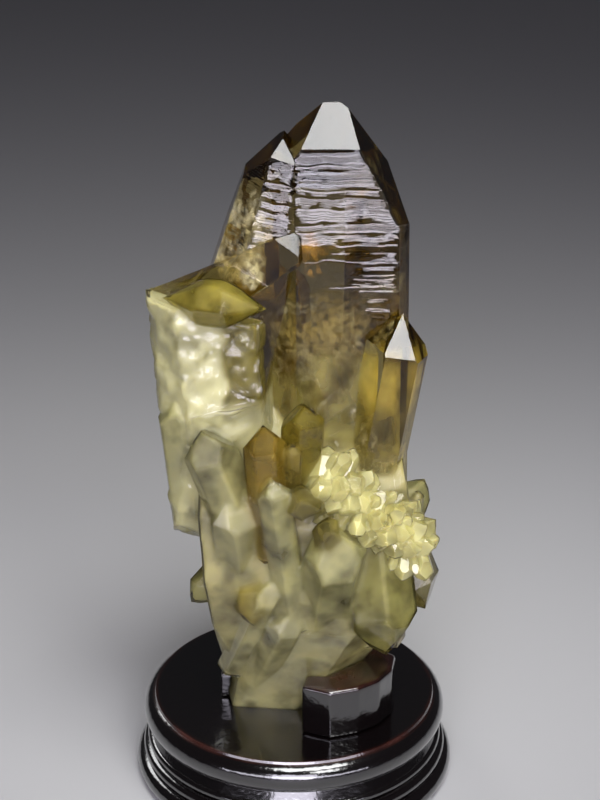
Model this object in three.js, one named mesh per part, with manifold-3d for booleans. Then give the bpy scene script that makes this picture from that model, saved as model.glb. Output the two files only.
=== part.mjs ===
// A citrine crystal cluster standing on a turned, lacquered wooden display stand.
// Millimetres, +Z up, front towards -Y. The origin is the centre of the stand's underside.
import * as THREE from "three";
import { ConvexGeometry } from "three/addons/geometries/ConvexGeometry.js";
import { mergeVertices } from "three/addons/utils/BufferGeometryUtils.js";
import Module from "manifold-3d";

const wasm = await Module();
wasm.setup();

// Driving dimensions of the stand
const FOOT_RADIUS = 55; // widest moulding, at the bottom
const RIM_RADIUS = 52; // the plate's rounded rim
const RIM_ROUND = 5.6; // radius of that rounding
const RIM_HEIGHT = 23; // height of the rim's widest line
const RIM_START = -0.84; // where the rounding starts and ends, in quarter turns from that line
const RIM_END = 0.78;
const WELL_RADIUS = 48; // the flat top inside the rim
const PLATE_TOP = 29; // height of the flat top
const POCKET_MOUTH = 30; // the pocket's cutter reaches just past the flat top
const POCKET_FLOOR = 27; // the shallow pocket that the stone's foot stands in
const LUG_HEIGHT = { front: 18, left: 10, back: 17 };
const LUG_BEVEL = 1.2; // softened top edges of the lugs
const GLUE_GAP = 0.3; // glue line between a lug and the plate
const ROUND_STEPS = 48; // facets round the turned stand
const ARC_STEPS = 3; // facets in each quarter of a moulding's round

// Half-round mouldings under the rim, from the bottom up: the centre's distance inside the foot radius,
// its height, and the moulding's own radius
const MOULDINGS = [
  { inset: 3.5, height: 3.5, radius: 3.5 },
  { inset: 4.2, height: 9, radius: 1.8 },
  { inset: 5.4, height: 12.8, radius: 1.5 },
];

// Driving dimensions of the stone
const STONE_FOOT = 27.4; // lowest point of the stone, just clear of the pocket
const STONE_GAP = 0.4; // clearance between stone and wood
const PYRAMID_LEAN = 38.2; // a quartz pyramid face leans this far back from the prism face below it
const MINOR_FACE_DROP = 0.1; // how far the three small pyramid faces stand off the tip, as a share of width
const FACE_UNEVENNESS = 0.14; // natural crystals have prism faces of unequal width

// Colours read from the photograph
const CITRINE = { color: 0xb9a76a, roughness: 0.12, metalness: 0 };
const LACQUER = { color: 0x1a0d0c, roughness: 0.18, metalness: 0 };

// Geometry as solids

function solidOf(geometry) {
  const bare = geometry.clone();
  bare.deleteAttribute("normal");
  bare.deleteAttribute("uv");
  const merged = mergeVertices(bare, 1e-4);
  return new wasm.Manifold(
    new wasm.Mesh({
      numProp: 3,
      vertProperties: new Float32Array(merged.attributes.position.array),
      triVerts: new Uint32Array(merged.index.array),
    }),
  );
}

function geometryOf(solid) {
  const mesh = solid.getMesh();
  return new THREE.BufferGeometry()
    .setAttribute("position", new THREE.BufferAttribute(mesh.vertProperties, 3))
    .setIndex(new THREE.BufferAttribute(mesh.triVerts, 1));
}

// Solids as one piece. A gap that they seal in between them is filled: only the outer skin is kept.
function joined(solids) {
  const skins = solids.reduce((all, next) => all.add(next)).decompose();
  return skins.reduce((a, b) => (b.volume() > a.volume() ? b : a));
}

// Faces: a flat face looks towards an azimuth (degrees round from the front, right is positive),
// leans back from upright by some degrees (90 looks straight up) and passes through a point.

function face(azimuth, lean, x, y, z) {
  const a = THREE.MathUtils.degToRad(azimuth);
  const l = THREE.MathUtils.degToRad(lean);
  const normal = new THREE.Vector3(
    Math.sin(a) * Math.cos(l),
    -Math.cos(a) * Math.cos(l),
    Math.sin(l),
  );
  return new THREE.Plane().setFromNormalAndCoplanarPoint(
    normal,
    new THREE.Vector3(x, y, z),
  );
}

// The corner where three planes meet, or null if two of them are nearly parallel.
function corner(a, b, c) {
  const bc = new THREE.Vector3().crossVectors(b.normal, c.normal);
  const det = a.normal.dot(bc);
  if (Math.abs(det) < 1e-6) return null;
  const ca = new THREE.Vector3().crossVectors(c.normal, a.normal);
  const ab = new THREE.Vector3().crossVectors(a.normal, b.normal);
  return bc
    .multiplyScalar(-a.constant)
    .addScaledVector(ca, -b.constant)
    .addScaledVector(ab, -c.constant)
    .divideScalar(det);
}

// The block of stone inside a set of faces, each moved outwards by grow.
function block(faces, grow = 0) {
  const planes = faces.map((f) =>
    new THREE.Plane().copy(f).translate(f.normal.clone().multiplyScalar(grow)),
  );
  const corners = [];
  planes.forEach((a, i) =>
    planes.slice(i + 1).forEach((b, j) =>
      planes.slice(i + j + 2).forEach((c) => {
        const p = corner(a, b, c);
        const inside =
          p && planes.every((q) => q.distanceToPoint(p) < 1e-4);
        const isNew =
          inside && corners.every((q) => q.distanceTo(p) > 1e-3);
        if (isNew) corners.push(p);
      }),
    ),
  );
  return solidOf(new ConvexGeometry(corners));
}

// A six-sided quartz point: six prism faces round the line from foot to tip, and six pyramid faces on top,
// large and small in turn. turn swings a prism face away from the front.
function quartzPoint({ tip, foot, width, turn = 0 }) {
  const top = new THREE.Vector3(...tip);
  const bottom = new THREE.Vector3(...foot);
  const axis = top.clone().sub(bottom).normalize();
  const toFront =
    Math.abs(axis.y) > 0.9
      ? new THREE.Vector3(0, 0, 1)
      : new THREE.Vector3(0, -1, 0);
  const front = toFront.addScaledVector(axis, -toFront.dot(axis)).normalize();
  const lean = THREE.MathUtils.degToRad(PYRAMID_LEAN);
  const faces = [
    new THREE.Plane().setFromNormalAndCoplanarPoint(
      axis.clone().negate(),
      bottom,
    ),
  ];
  for (let k = 0; k < 6; k++) {
    const angle = THREE.MathUtils.degToRad(turn + 60 * k);
    const side = front.clone().applyAxisAngle(axis, angle);
    const uneven = 1 + FACE_UNEVENNESS * Math.sin(2.4 * k + turn + tip[0]);
    const onSide = bottom.clone().addScaledVector(side, 0.5 * width * uneven);
    faces.push(
      new THREE.Plane().setFromNormalAndCoplanarPoint(side, onSide),
    );
    const slope = side
      .clone()
      .multiplyScalar(Math.cos(lean))
      .addScaledVector(axis, Math.sin(lean));
    const drop = k % 2 ? MINOR_FACE_DROP * width : 0;
    const onSlope = top.clone().addScaledVector(slope, drop);
    faces.push(
      new THREE.Plane().setFromNormalAndCoplanarPoint(slope, onSlope),
    );
  }
  return faces;
}

// The two large crystals grown side by side, the broken slab and the milky foot, face by face

const mainCrystal = [
  face(0, 0.5, 16, -18, 215),
  face(0, PYRAMID_LEAN, 10, -18, 224.6),
  face(75, 27, 20.0, -18, 224.6),
  face(68, 1, 33.5, -17.5, 150),
  face(125, 0, 36.4, -10.3, 150),
  face(180, 1, 16, 19, 150),
  face(-125, 0, -6, 12, 150),
  face(-50, 0, 0.6, -18, 150),
  face(-75, 36, 2.4, -18, 224.6),
  face(180, PYRAMID_LEAN, 10, -6.5, 234.2),
  face(125, 40, 24, 2, 220),
  face(-125, 40, 2, 3, 226),
  face(0, -90, 0, 0, 55),
];

const leaningTwin = [
  face(0, 1, -6, -18.6, 210),
  face(15, PYRAMID_LEAN, -6.9, -18.4, 222.4),
  face(-55, 12, -11.5, -18, 206),
  face(-90, 18, -21.5, 0, 195),
  face(-90, 0, -27, 0, 150),
  face(-82, 43, -5, -15, 224.6),
  face(78, 34.6, 1, -18, 220),
  face(50, -2, -0.8, -18.6, 200),
  face(85, -13, 4, -10, 200),
  face(180, 3, -8, 11, 190),
  face(-150, PYRAMID_LEAN, -8, 2, 215),
  face(150, PYRAMID_LEAN, 0, -4, 221.5),
  face(0, -90, 0, 0, 100),
];

const slabTop = face(-133, 61, -46, -8, 176.3);

const topSlab = [
  slabTop,
  face(-12, 2, -5, -21.5, 188),
  face(20, 40, -6, -21.5, 197.2),
  face(76, 4, 3, -18, 190),
  face(90, -54, -9.3, -20, 181.5),
  face(-84, -4, -46.4, -10, 173),
  face(180, 0, -25, 12, 170),
  face(0, -90, 0, 0, 135),
];

const brokenBlock = [
  slabTop,
  face(2, 4, -22, -27, 155),
  face(5, -11, -22, -27, 140),
  face(80, 2, -9.5, -26, 150),
  face(-84, -4.5, -44, -10, 157),
  face(-45, -3, -39, -22, 150),
  face(-12, 66, -28, -22, 178),
  face(-25, -58, -38, -11, 95),
  face(180, 0, -25, 15, 130),
  face(-130, -2, -38, 8, 130),
  face(0, -90, 0, 0, 84),
];

const milkyBody = [
  face(-8, -19, -6, -28, 66),
  face(40, -30, 22, -25, 61),
  face(85, -34, 41, -10, 72),
  face(95, 8, 38, 0, 90),
  face(-98, -4, -24.2, -10, 64),
  face(-50, -26, -25, -20, 58),
  face(-88, -35, -25.5, 0, 52),
  face(180, -16, 0, 22, 70),
  face(130, -25, 26, 16, 66),
  face(-130, -22, -22, 14, 62),
  face(0, 35, 0, -24, 118),
  face(-4, 3, 0, -33, 95),
  face(24, 0, 24, -29, 90),
  face(180, 30, 0, 20, 118),
  face(0, 90, 0, 0, 138),
  face(0, -90, 0, 0, 36),
];

const standingFoot = [
  face(-6, -20, -8, -17.8, 36),
  face(45, -33, 15.5, -18, 47),
  face(95, -30, 17, 0, 38),
  face(-80, 8, -20.8, -8, 36),
  face(-35, -6, -20.5, -14, 34),
  face(180, -16, 0, 13, 34),
  face(-130, -14, -16, 9, 34),
  face(135, -20, 11, 9, 34),
  face(0, 90, 0, 0, 66),
  face(0, -90, 0, 0, STONE_FOOT),
];

// Smaller crystals: where each one points, where it grows from, its width and its swing
const CRYSTALS = {
  rightPoint: { tip: [33.7, -21.5, 174], foot: [19, -9, 78], width: 17.5, turn: 4 },
  brownPoint: { tip: [-9.2, -37, 143.5], foot: [-6, -29, 96], width: 11.5, turn: 6 },
  olivePoint: { tip: [3.4, -31, 148], foot: [2, -22, 105], width: 11.5, turn: 20 },
  budPoint: { tip: [-0.2, -36.5, 137], foot: [-1, -29, 112], width: 5.5, turn: 12 },
  milkyColumn: { tip: [-6.6, -41.5, 127], foot: [0.6, -28, 68], width: 9, turn: 24 },
  oliveBudLeft: { tip: [1.5, -46.5, 122], foot: [6, -26, 110], width: 11, turn: 10 },
  oliveBudRight: { tip: [9.5, -46.5, 111.5], foot: [14, -26, 99], width: 9, turn: 25 },
  broadPrism: { tip: [14, -43, 110], foot: [10, -18, 68], width: 19, turn: 12 },
  hangingPoint: { tip: [30, -33.5, 60.5], foot: [25, -15, 108], width: 20, turn: 24 },
  rightFoot: { tip: [43.5, -18, 69], foot: [28, -8, 106], width: 17, turn: 40 },
  leftBud: { tip: [-33.6, -22.5, 74], foot: [-16, -12, 90], width: 9.5, turn: 8 },
  leftBudSmall: { tip: [-21.5, -27.5, 72.5], foot: [-16, -14, 92], width: 6.5, turn: 30 },
  oliveLump: { tip: [-13, -34, 71.5], foot: [-13, -14, 98], width: 13.5, turn: 15 },
  leaningPrism: { tip: [-28.5, -33, 140], foot: [-6, -20, 72], width: 14.5, turn: -6 },
  leftColumn: { tip: [-36, -21, 148], foot: [-32, -14, 103], width: 13, turn: 40 },
  milkyPrism: { tip: [-19, -33, 121], foot: [-16, -14, 72], width: 17, turn: 34 },
  slantPrismLow: { tip: [-6, -34, 88], foot: [-20, -14, 46], width: 10, turn: 8 },
  slantPrismFoot: { tip: [0, -33, 76], foot: [-12.5, -10.5, 37], width: 11, turn: 22 },
  lozenge: { tip: [-8.2, -30, 179], foot: [-37, -21.5, 178], width: 13, turn: 50 },
  backTall: { tip: [-9, 27, 185], foot: [-4, 10, 70], width: 25, turn: 10 },
  backRight: { tip: [22, 33, 152], foot: [13, 10, 66], width: 21, turn: 35 },
  sideRight: { tip: [31, 15, 140], foot: [20, 4, 66], width: 17, turn: 20 },
  backLeft: { tip: [-35, 23, 132], foot: [-17, 6, 58], width: 17, turn: 48 },
  backLow: { tip: [-5, 38, 114], foot: [-2, 10, 58], width: 15, turn: 5 },
  backBud: { tip: [27, 31, 99], foot: [11, 8, 62], width: 13, turn: 26 },
  backLeftBud: { tip: [-27, 30, 92], foot: [-10, 6, 58], width: 11, turn: 16 },
  sideBud: { tip: [44, 8, 104], foot: [24, 0, 76], width: 12, turn: 33 },
};

// The druse: a crust of small points that stand out all round a slanting core line, on the front right
const DRUSE = {
  coreStart: [9, -31.5, 123],
  coreEnd: [40, -25, 95],
  points: 36,
  sweep: 115, // degrees to each side of straight out from the stone
  reach: [9.5, 14.5], // shortest and longest point, from the core line to its tip
  width: [5, 8.5],
  lean: 0.35, // how far the end points tip outwards along the core
};
const GOLDEN_SHARE = 0.618034; // successive multiples of it spread evenly

function drusePoints() {
  const start = new THREE.Vector3(...DRUSE.coreStart);
  const end = new THREE.Vector3(...DRUSE.coreEnd);
  const along = end.clone().sub(start).normalize();
  const out = new THREE.Vector3(0.25, -1, 0.2);
  out.addScaledVector(along, -out.dot(along)).normalize();
  return Array.from({ length: DRUSE.points }, (_, i) => {
    const share = (i + 0.5) / DRUSE.points;
    const spread = 2 * ((i * GOLDEN_SHARE) % 1) - 1;
    const size = (i * GOLDEN_SHARE * 7 + 0.3) % 1;
    const foot = start.clone().lerp(end, share);
    const way = out
      .clone()
      .applyAxisAngle(along, THREE.MathUtils.degToRad(DRUSE.sweep * spread))
      .addScaledVector(along, DRUSE.lean * (2 * share - 1))
      .normalize();
    const reach = THREE.MathUtils.lerp(...DRUSE.reach, size);
    return {
      tip: foot.clone().addScaledVector(way, reach).toArray(),
      foot: foot.toArray(),
      width: THREE.MathUtils.lerp(...DRUSE.width, 1 - size),
      turn: 47 * i,
    };
  });
}

// Every crystal as a set of faces. They have grown into one stone.
const STONE = [
  mainCrystal,
  leaningTwin,
  topSlab,
  brokenBlock,
  milkyBody,
  standingFoot,
  ...Object.values(CRYSTALS).map(quartzPoint),
  ...drusePoints().map(quartzPoint),
];

const stone = joined(STONE.map((faces) => block(faces)));
const stoneRoom = joined(STONE.map((faces) => block(faces, STONE_GAP)));

// The stand: one turned piece with a rounded rim over stepped mouldings

function standProfile() {
  const quarter = Math.PI / 2;
  const path = new THREE.Path();
  path.moveTo(0, 0);
  path.lineTo(FOOT_RADIUS - MOULDINGS[0].inset, 0);
  for (const { inset, height, radius } of MOULDINGS) {
    path.absarc(FOOT_RADIUS - inset, height, radius, -quarter, quarter, false);
  }
  path.absarc(RIM_RADIUS - RIM_ROUND, RIM_HEIGHT, RIM_ROUND, RIM_START * quarter, RIM_END * quarter, false);
  path.lineTo(WELL_RADIUS, PLATE_TOP);
  path.lineTo(0, PLATE_TOP);
  return path.getPoints(ARC_STEPS);
}

function standBase() {
  const turned = new THREE.LatheGeometry(standProfile(), ROUND_STEPS).rotateX(
    Math.PI / 2,
  );
  const pocket = block(
    [
      ...standingFoot.filter((f) => Math.abs(f.normal.z) < 0.9),
      face(0, 90, 0, 0, POCKET_MOUTH),
      face(0, -90, 0, 0, POCKET_FLOOR),
    ],
    STONE_GAP,
  );
  return solidOf(turned).subtract(pocket);
}

// The lugs: blocks glued to the plate that hug the stone. Each outline is a plan view, cut back by the stone.
const LUGS = {
  lug_front: {
    outline: [
      [2.6, -30.5], [12, -34.6], [21.5, -31.5], [28.5, -26.4],
      [33, -19.5], [34.5, -10], [27, -4], [6, -14],
    ],
    height: LUG_HEIGHT.front,
  },
  lug_left: {
    outline: [[-20, -9], [-25, -8.5], [-24.5, 7], [-21, 11], [-13, 8], [-13, -4]],
    height: LUG_HEIGHT.left,
  },
  lug_back: {
    outline: [[24, 6], [28, 12], [25, 20], [16, 26], [5, 28], [-3, 26], [-3, 12], [12, 2]],
    height: LUG_HEIGHT.back,
  },
};

// The extrusion is softened at both ends, so it starts below the plate and its lower end is cut off.
function lug({ outline, height }) {
  const shape = new THREE.Shape(outline.map(([x, y]) => new THREE.Vector2(x, y)));
  const raised = new THREE.ExtrudeGeometry(shape, {
    depth: height,
    bevelThickness: LUG_BEVEL,
    bevelSize: LUG_BEVEL,
    bevelOffset: -LUG_BEVEL,
    bevelSegments: 3,
  }).translate(0, 0, PLATE_TOP - LUG_BEVEL);
  const aboveGlue = block([
    face(0, -90, 0, 0, PLATE_TOP + GLUE_GAP),
    face(0, 90, 0, 0, PLATE_TOP + 2 * height),
    face(0, 0, 0, -FOOT_RADIUS, 0),
    face(180, 0, 0, FOOT_RADIUS, 0),
    face(90, 0, FOOT_RADIUS, 0, 0),
    face(-90, 0, -FOOT_RADIUS, 0, 0),
  ]);
  return solidOf(raised).intersect(aboveGlue).subtract(stoneRoom);
}

// The assembly

function piece(name, solid, finish) {
  const mesh = new THREE.Mesh(
    geometryOf(solid),
    new THREE.MeshStandardMaterial(finish),
  );
  mesh.name = name;
  return mesh;
}

const citrine = new THREE.Group();
citrine.add(piece("citrine_cluster", stone, CITRINE));
citrine.add(piece("stand_base", standBase(), LACQUER));
for (const [name, shape] of Object.entries(LUGS)) {
  citrine.add(piece(name, lug(shape), LACQUER));
}

export default citrine;
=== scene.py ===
# %% [markdown]
# A citrine cluster on its lacquered stand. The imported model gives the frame: every piece here is in metres,
# +Z up, front towards -Y. The stone's crystals are worked out again from their flat faces, with growth
# lines, clouds and stains that the plain solids lack.

# %% Load the frame
import itertools
import math

import bmesh
import bpy
import numpy as np
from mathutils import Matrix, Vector


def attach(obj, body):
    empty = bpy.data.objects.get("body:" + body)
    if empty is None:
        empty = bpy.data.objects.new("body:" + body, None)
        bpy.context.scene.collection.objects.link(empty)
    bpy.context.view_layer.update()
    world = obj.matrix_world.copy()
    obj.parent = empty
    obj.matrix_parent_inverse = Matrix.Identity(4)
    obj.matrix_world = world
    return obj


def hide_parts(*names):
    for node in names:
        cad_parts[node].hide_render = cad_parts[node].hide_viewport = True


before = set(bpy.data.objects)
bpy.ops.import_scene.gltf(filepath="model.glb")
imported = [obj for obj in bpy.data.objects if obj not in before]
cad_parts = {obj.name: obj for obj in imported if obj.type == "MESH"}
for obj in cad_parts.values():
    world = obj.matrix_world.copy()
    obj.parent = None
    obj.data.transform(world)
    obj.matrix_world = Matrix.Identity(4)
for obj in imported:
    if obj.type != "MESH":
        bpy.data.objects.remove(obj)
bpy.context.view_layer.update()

MM = 0.001
UP = np.array([0.0, 0.0, 1.0])
scene = bpy.context.scene
print("nodes", sorted(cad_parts))

# %% [markdown]
# A quartz crystal is a set of flat faces, so each crystal is kept as a list of planes and nothing else. A
# plane could be three points, but a direction and one point is what a goniometer reads off the real stone:
# the azimuth a face looks to, how far it leans back from upright, and a point that it passes through.

# %% A flat face
def face(azimuth, lean, x, y, z):
    """A plane as (normal, offset): normal . p = offset on the face. Angles are in degrees and the point
    is in millimetres."""
    a, b = np.radians([azimuth, lean])
    normal = np.array([np.sin(a) * np.cos(b), -np.cos(a) * np.cos(b), np.sin(b)])
    return np.append(normal, normal @ [x * MM, y * MM, z * MM])


def unit(vector):
    """The vector divided by its length."""
    return np.asarray(vector) / np.linalg.norm(vector)


def turned(vector, axis, degrees):
    """The vector turned about an axis: its part across the axis swings by the angle, its part along
    stays."""
    a = np.radians(degrees)
    swing = vector * np.cos(a) + np.cross(axis, vector) * np.sin(a)
    return swing + axis * (axis @ vector) * (1 - np.cos(a))


print("a face 10 mm in front", face(0, 0, 0, -10, 0))

# %% [markdown]
# Most quartz grows as a six-sided prism with a six-sided pyramid on top. It could be a cone primitive with
# six sides, but natural prism faces are of unequal width and every second pyramid face is smaller, so each
# face is set on its own.

# %% Quartz points
PYRAMID_LEAN = 38.2  # degrees that a quartz pyramid face leans back from the prism face below it
MINOR_FACE_DROP = 0.1  # how far the small pyramid faces stand off the tip, as a share of the width
FACE_UNEVENNESS = 0.14  # how much the prism faces differ in their distance from the axis


def quartz_point(tip, foot, width, turn, minor_drop=MINOR_FACE_DROP, lean=PYRAMID_LEAN):
    """Six prism faces round the line from foot to tip and six pyramid faces on top, large and small in
    turn. Gives the planes and the axis."""
    top, bottom, wide = np.array(tip) * MM, np.array(foot) * MM, width * MM
    axis = unit(top - bottom)
    ahead = UP if abs(axis[1]) > 0.9 else np.array([0.0, -1.0, 0.0])
    front = unit(ahead - axis * (ahead @ axis))
    b = np.radians(lean)
    planes = [np.append(-axis, -axis @ bottom)]
    for k in range(6):
        side = turned(front, axis, turn + 60 * k)
        uneven = 1 + FACE_UNEVENNESS * np.sin(2.4 * k + turn + tip[0])
        slope = side * np.cos(b) + axis * np.sin(b)
        drop = minor_drop * wide if k % 2 else 0
        planes.append(np.append(side, side @ bottom + 0.5 * wide * uneven))
        planes.append(np.append(slope, slope @ top + drop))
    return np.array(planes), axis


def two_ended(tip, other_tip, width, turn, lean):
    """A quartz point with a pyramid at both ends: one point without its base, closed by another's
    pyramid."""
    middle = 0.5 * (np.array(tip) + np.array(other_tip))
    planes, axis = quartz_point(tip, middle, width, turn, 0, lean)
    others, _ = quartz_point(other_tip, middle, width, -turn, 0, lean)
    return np.concatenate([planes[1:], others[2::2]]), axis


def corners_of(planes):
    """Every point where three planes meet and that no other plane cuts off, each listed once."""
    triples = np.array(list(itertools.combinations(range(len(planes)), 3)))
    normals, offsets = planes[triples, :3], planes[triples, 3]
    meet = abs(np.linalg.det(normals)) > 1e-6
    points = np.linalg.solve(normals[meet], offsets[meet][..., None])[..., 0]
    kept = (points @ planes[:, :3].T < planes[:, 3] + 1e-8).all(1)
    return np.unique(points[kept].round(8), axis=0)


def depth_in(points, planes):
    """How far each point is outside the block of planes: the largest of its heights over the planes."""
    return (points @ planes[:, :3].T - planes[:, 3]).max(-1)


# %% [markdown]
# The two large points, the slab and the block at the left and the milky foot each have faces of their own.
# They could be modelled by pulling boxes about, but then a face that is moved bends its neighbours. Listed
# as planes, each face stays flat, whatever the others do.

# %% The large crystals, face by face
SLAB_TOP = face(-133, 61, -46, -8, 176.3)
HAND_CUT = {
    "main_crystal": [
        face(0, 0.5, 16, -18, 215),
        face(0, PYRAMID_LEAN, 10, -18, 224.6),
        face(75, 27, 20.0, -18, 224.6),
        face(68, 1, 33.5, -17.5, 150),
        face(125, 0, 36.4, -10.3, 150),
        face(180, 1, 16, 19, 150),
        face(-125, 0, -6, 12, 150),
        face(-50, 0, 0.6, -18, 150),
        face(-75, 36, 2.4, -18, 224.6),
        face(180, PYRAMID_LEAN, 10, -6.5, 234.2),
        face(125, 40, 24, 2, 220),
        face(-125, 40, 2, 3, 226),
        face(0, -90, 0, 0, 55),
    ],
    "leaning_twin": [
        face(0, 1, -6, -18.6, 210),
        face(15, PYRAMID_LEAN, -6.9, -18.4, 222.4),
        face(-55, 12, -11.5, -18, 206),
        face(-90, 18, -21.5, 0, 195),
        face(-90, 0, -27, 0, 150),
        face(-82, 43, -5, -15, 224.6),
        face(78, 34.6, 1, -18, 220),
        face(50, -2, -0.8, -18.6, 200),
        face(85, -13, 4, -10, 200),
        face(180, 3, -8, 11, 190),
        face(-150, PYRAMID_LEAN, -8, 2, 215),
        face(150, PYRAMID_LEAN, 0, -4, 221.5),
        face(0, -90, 0, 0, 100),
    ],
    "top_slab": [
        SLAB_TOP,
        face(-12, 2, -5, -21.5, 188),
        face(20, 40, -6, -21.5, 197.2),
        face(76, 4, 3, -18, 190),
        face(90, -54, -9.3, -20, 181.5),
        face(-84, -4, -45, -10, 173),
        face(180, 0, -25, 12, 170),
        face(0, -90, 0, 0, 135),
    ],
    "broken_block": [
        SLAB_TOP,
        face(2, 4, -22, -27, 155),
        face(5, -11, -22, -27, 140),
        face(80, 2, -9.5, -26, 150),
        face(-84, -4.5, -44, -10, 157),
        face(-45, -3, -39, -22, 150),
        face(90, 78, -30, -20, 175.5),
        face(-25, -58, -38, -11, 95),
        face(180, 0, -25, 15, 130),
        face(-130, -2, -38, 8, 130),
        face(0, -90, 0, 0, 84),
    ],
    "milky_body": [
        face(-8, -19, -6, -28, 66),
        face(40, -30, 22, -25, 61),
        face(85, -34, 41, -10, 72),
        face(95, 8, 38, 0, 90),
        face(-98, -4, -24.2, -10, 64),
        face(-50, -26, -25, -20, 58),
        face(-88, -35, -25.5, 0, 52),
        face(180, -16, 0, 22, 70),
        face(130, -25, 26, 16, 66),
        face(-130, -22, -22, 14, 62),
        face(0, 35, 0, -24, 118),
        face(-4, 3, 0, -33, 95),
        face(24, 0, 24, -29, 90),
        face(180, 30, 0, 20, 118),
        face(0, 90, 0, 0, 138),
        face(0, -90, 0, 0, 36),
    ],
    "standing_foot": [
        face(-6, -20, -8, -17.8, 36),
        face(45, -33, 15.5, -18, 47),
        face(95, -30, 17, 0, 38),
        face(-80, 8, -20.8, -8, 36),
        face(-35, -6, -20.5, -14, 34),
        face(180, -16, 0, 13, 34),
        face(-130, -14, -16, 9, 34),
        face(135, -20, 11, 9, 34),
        face(0, 90, 0, 0, 66),
        face(0, -90, 0, 0, 27.4),
    ],
}
CRYSTALS = {name: (np.array(planes), UP) for name, planes in HAND_CUT.items()}
print("hand-cut crystals", {name: len(corners_of(planes)) for name, (planes, _) in CRYSTALS.items()})

# %% [markdown]
# Round the large crystals stand smaller quartz points, in front and behind. Each could be a set of planes
# as well, but a tip, a foot, a width and a turn are enough to grow one. A point with a pyramid at both ends
# lies across the top of the block.

# %% The smaller crystals: tip, foot, width and turn
POINTS = {
    "right_point": ([33.7, -21.5, 174], [19, -9, 78], 17.5, 4, 0),
    "brown_point": ([-9.2, -37, 143.5], [-6, -29, 96], 11.5, 6),
    "olive_point": ([3.4, -31, 148], [2, -22, 105], 11.5, 20),
    "bud_point": ([-0.2, -36.5, 137], [-1, -29, 112], 5.5, 12),
    "milky_column": ([-6.6, -41.5, 127], [0.6, -28, 68], 9, 24),
    "olive_bud_left": ([1.5, -46.5, 122], [6, -26, 110], 11, 10),
    "olive_bud_right": ([9.5, -46.5, 111.5], [14, -26, 99], 9, 25),
    "broad_prism": ([14, -43, 110], [10, -18, 68], 19, 12),
    "hanging_point": ([30, -33.5, 60.5], [25, -15, 108], 20, 24),
    "right_foot": ([43.5, -18, 69], [28, -8, 106], 17, 40),
    "left_bud": ([-33.6, -22.5, 74], [-16, -12, 90], 9.5, 8),
    "left_bud_small": ([-21.5, -27.5, 72.5], [-16, -14, 92], 6.5, 30),
    "olive_lump": ([-13, -34, 71.5], [-13, -14, 98], 13.5, 15),
    "leaning_prism": ([-28.5, -33, 140], [-6, -20, 72], 14.5, -6),
    "left_column": ([-36, -21, 148], [-32, -14, 103], 13, 40),
    "milky_prism": ([-19, -33, 121], [-16, -14, 72], 17, 34),
    "slant_prism_low": ([-6, -34, 88], [-20, -14, 46], 10, 8),
    "slant_prism_foot": ([0, -33, 76], [-12.5, -10.5, 37], 11, 22),
    "back_tall": ([-9, 27, 185], [-4, 10, 70], 25, 10),
    "back_right": ([22, 33, 152], [13, 10, 66], 21, 35),
    "side_right": ([31, 15, 140], [20, 4, 66], 17, 20),
    "back_left": ([-35, 23, 132], [-17, 6, 58], 17, 48),
    "back_low": ([-5, 38, 114], [-2, 10, 58], 15, 5),
    "back_bud": ([27, 31, 99], [11, 8, 62], 13, 26),
    "back_left_bud": ([-27, 30, 92], [-10, 6, 58], 11, 16),
    "side_bud": ([44, 8, 104], [24, 0, 76], 12, 33),
}
CRYSTALS.update({name: quartz_point(*sizes) for name, sizes in POINTS.items()})
CRYSTALS["lozenge"] = two_ended([-8, -30, 178.5], [-40, -21, 179], 13, 37, 27)
print("crystals so far", len(CRYSTALS))

# %% [markdown]
# Natural surfaces need an even, repeatable unevenness. Blender's noise textures do that for shading, and
# here the same idea is written with numpy, so that it can also push vertices about and thin out clouds.

# %% Smooth noise
LATTICE_SIZE = 32
LATTICE = np.random.default_rng(3).random((LATTICE_SIZE,) * 3)
OCTAVE_SHIFT = 17.3  # keeps the finer lattices from lining up with the coarse one


def cloud(points, size, octaves=3):
    """Noise from 0 to 1: random values on a lattice of cells of one size, blended smoothly inside each
    cell, plus finer lattices of half the size and half the weight."""
    total = np.zeros(points.shape[:-1])
    for k in range(octaves):
        place = points / size * 2**k + OCTAVE_SHIFT * k
        cell = np.floor(place).astype(int)
        share = place - cell
        share = share * share * (3 - 2 * share)
        for step in itertools.product((0, 1), repeat=3):
            weight = np.where(step, share, 1 - share).prod(-1)
            i, j, m = np.moveaxis((cell + step) % LATTICE_SIZE, -1, 0)
            total += weight * LATTICE[i, j, m] / 2**k
    return total / (2 - 2.0 ** (1 - octaves))


print("noise at the origin", cloud(np.zeros((1, 3)), 10 * MM))

# %% [markdown]
# A crystal's face is a flat polygon. One polygon would do for a plain face, but growth lines and wear need
# points inside it, so each face is a grid: rows are levels up the crystal's own axis, columns run across
# the face. Rows on neighbouring faces meet at the same levels, so the grids share their edges and the
# crystal closes.

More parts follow.
